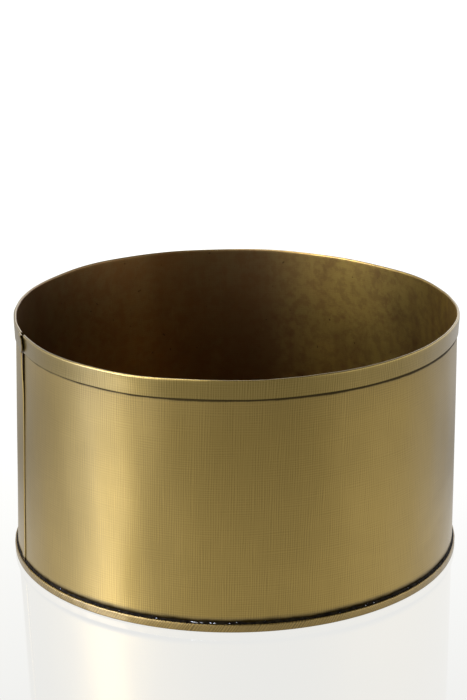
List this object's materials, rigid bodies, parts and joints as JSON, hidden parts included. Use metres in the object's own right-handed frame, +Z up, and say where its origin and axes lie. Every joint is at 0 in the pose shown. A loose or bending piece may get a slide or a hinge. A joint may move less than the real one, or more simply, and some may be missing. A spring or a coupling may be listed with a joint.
{
  "type": "planter pot",
  "caption": "Round open planter pot in antique brass sheet, with a hemmed rim, a lock seam up one side and a double-seamed foot.",
  "frame": {"origin": "centre of the underside, on the surface that the pot stands on", "axes": "+Z up along the pot's axis, out of its mouth; the front is -Y and the lock seam is on the left of the front, towards -X"},
  "size_m": [0.257, 0.257, 0.14],
  "materials": {
    "wall_brass": "antiqued brass sheet with a fine linen-like brushed grain outside and darker brown inside",
    "base_brass": "antiqued brass sheet, brushed slantwise round the foot band",
    "solder": "blackened soft solder with patina, rough, with small bright specks"
  },
  "bodies": {
    "root": {"wall_sheet": "wall_brass", "base_pan": "base_brass", "base_solder": "solder", "seam_solder": "solder"}
  },
  "joints": []
}
